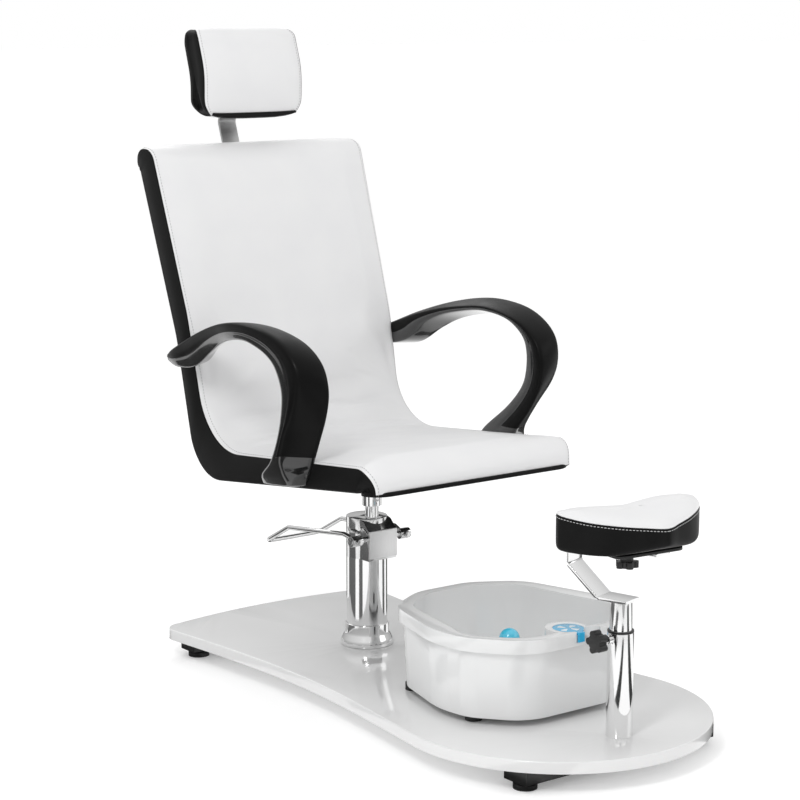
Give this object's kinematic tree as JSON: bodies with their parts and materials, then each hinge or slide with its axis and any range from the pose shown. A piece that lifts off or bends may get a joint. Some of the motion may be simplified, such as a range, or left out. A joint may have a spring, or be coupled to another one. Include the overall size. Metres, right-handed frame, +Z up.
{
  "type": "pedicure chair",
  "caption": "Pedicure chair with upholstered seat on a hydraulic column, loop armrests, headrest, swivelling leg rest and foot bath on a waisted platform.",
  "frame": {"origin": "on the floor, below the middle of the whole chair's plan", "axes": "+Z up, +Y to the rear of the chair, +X to the sitter's left"},
  "size_m": [0.6494, 1.3994, 1.309],
  "materials": {
    "white_lacquer": "white high-gloss lacquer on board",
    "black_paint": "black powder coat",
    "black_plastic": "moulded black",
    "chrome": "polished",
    "brushed": "satin grey steel",
    "zinc": "bright zinc plate",
    "head_grey": "polished casting",
    "white_vinyl": "smooth white leathercloth over foam",
    "black_vinyl": "smooth black leathercloth",
    "arm_pu": "black polyurethane, satin pad on a glossy shell",
    "plywood": "bare plywood",
    "rubber": "black moulded",
    "bath_white": "glossy white moulded",
    "bath_blue": "glossy light blue"
  },
  "bodies": {
    "base": {"platform_board": "white_lacquer", "front_cross_tube": "black_paint", "rear_cross_tube": "black_paint", "frame_rails": "black_paint", "tube_end_caps": "black_plastic", "board_screws": "zinc", "pump_base_plate": "black_paint", "pump_base_bolts": "zinc", "base_escutcheon": "chrome", "column_cover_tube": "chrome", "hydraulic_cylinder": "brushed", "pump_head": "head_grey", "head_front_plate": "brushed", "leg_post_tube": "chrome", "post_fixing_bolt": "zinc", "post_guide_bush": "black_plastic"},
    "foot_front_left": {"levelling_foot_front_left": "rubber"},
    "foot_front_right": {"levelling_foot_front_right": "rubber"},
    "foot_rear_left": {"levelling_foot_rear_left": "rubber"},
    "foot_rear_right": {"levelling_foot_rear_right": "rubber"},
    "pedal": {"pedal_shaft": "zinc", "pedal_collars": "chrome", "pedal_set_screws": "zinc", "pedal_loop": "chrome"},
    "plunger": {"pump_plunger": "zinc"},
    "lift": {"lift_piston": "chrome"},
    "seat": {"seat_socket": "chrome", "socket_set_screw": "zinc", "seat_mount_plate": "black_paint", "seat_frame_bars": "black_paint", "seat_board": "plywood", "back_board": "plywood", "seat_back_pad": "white_vinyl", "side_panels": "black_vinyl", "rear_cover": "black_vinyl", "armrest_left": "arm_pu", "armrest_right": "arm_pu", "seat_bolts": "zinc", "headrest_sleeve": "black_paint", "sleeve_screws": "zinc"},
    "headrest": {"headrest_bar": "brushed", "headrest_board": "plywood", "headrest_pad": "white_vinyl", "headrest_side_panels": "black_vinyl"},
    "headrest_knob": {"headrest_knob": "black_plastic"},
    "post_knob": {"post_knob": "black_plastic"},
    "leg_glide": {"leg_tube_glide": "black_plastic"},
    "leg_arm": {"leg_inner_tube": "chrome", "leg_bracket": "brushed"},
    "leg_pad": {"leg_pad_plate": "black_paint", "leg_pad_screws": "zinc", "leg_pad": "white_vinyl"},
    "leg_pad_knob": {"leg_pad_knob": "black_plastic"},
    "bath": {"bath_shell": "bath_white", "bath_basin": "bath_white", "bath_inlet": "black_plastic", "bath_dome": "bath_blue", "bath_feet": "rubber", "bath_motor": "zinc"},
    "bath_control": {"bath_control": "bath_blue"}
  },
  "joints": [
    {"name": "foot_front_left_screw", "type": "slide", "parent": "base", "child": "foot_front_left", "axis": [0, 0, 1], "range_m": [-0.012, 0.001]},
    {"name": "foot_front_right_screw", "type": "slide", "parent": "base", "child": "foot_front_right", "axis": [0, 0, 1], "range_m": [-0.012, 0.001]},
    {"name": "foot_rear_left_screw", "type": "slide", "parent": "base", "child": "foot_rear_left", "axis": [0, 0, 1], "range_m": [-0.012, 0.001]},
    {"name": "foot_rear_right_screw", "type": "slide", "parent": "base", "child": "foot_rear_right", "axis": [0, 0, 1], "range_m": [-0.012, 0.001]},
    {"name": "pedal_press", "type": "hinge", "parent": "base", "child": "pedal", "pos_m": [0, 0.146, 0.291], "axis": [1, 0, 0], "range_deg": [-20, 0], "stiffness_Nm_per_rad": 20, "springref_deg": 17.19},
    {"name": "plunger_slide", "type": "slide", "parent": "base", "child": "plunger", "axis": [0, 0, 1], "range_m": [-0.0075, 0]},
    {"name": "seat_lift", "type": "slide", "parent": "base", "child": "lift", "axis": [0, 0, 1], "range_m": [0, 0.13]},
    {"name": "seat_swivel", "type": "hinge", "parent": "lift", "child": "seat", "pos_m": [0, 0.173, 0.361], "axis": [0, 0, 1], "continuous": true},
    {"name": "headrest_height", "type": "slide", "parent": "seat", "child": "headrest", "axis": [0, 0.3309, 0.9437], "range_m": [-0.035, 0.06]},
    {"name": "headrest_knob_turn", "type": "hinge", "parent": "seat", "child": "headrest_knob", "pos_m": [0, 0.594, 0.9357], "axis": [0, 0.9437, -0.3309], "range_deg": [0, 360]},
    {"name": "post_knob_turn", "type": "hinge", "parent": "base", "child": "post_knob", "pos_m": [-0.056, -0.573, 0.243], "axis": [-1, 0, 0], "range_deg": [0, 360]},
    {"name": "leg_height", "type": "slide", "parent": "base", "child": "leg_glide", "axis": [0, 0, 1], "range_m": [0, 0.12]},
    {"name": "leg_swivel", "type": "hinge", "parent": "leg_glide", "child": "leg_arm", "pos_m": [0, -0.573, 0.301], "axis": [0, 0, 1], "continuous": true},
    {"name": "leg_pad_slide", "type": "slide", "parent": "leg_arm", "child": "leg_pad", "axis": [-0.2419, 0.9703, 0], "range_m": [-0.027, 0.027]},
    {"name": "leg_pad_knob_turn", "type": "hinge", "parent": "leg_pad", "child": "leg_pad_knob", "pos_m": [0.00242, -0.5827, 0.379], "axis": [0, 0, 1], "range_deg": [0, 360]},
    {"name": "bath_slide", "type": "slide", "parent": "base", "child": "bath", "axis": [1, 0, 0], "range_m": [-0.1, 0.1]},
    {"name": "bath_control_turn", "type": "hinge", "parent": "bath", "child": "bath_control", "pos_m": [0, -0.432, 0.221], "axis": [0, 0, 1], "range_deg": [0, 45]}
  ],
  "couplings": [
    {"joint": "plunger_slide", "follows": "pedal_press", "m_per_rad": 0.0206}
  ]
}
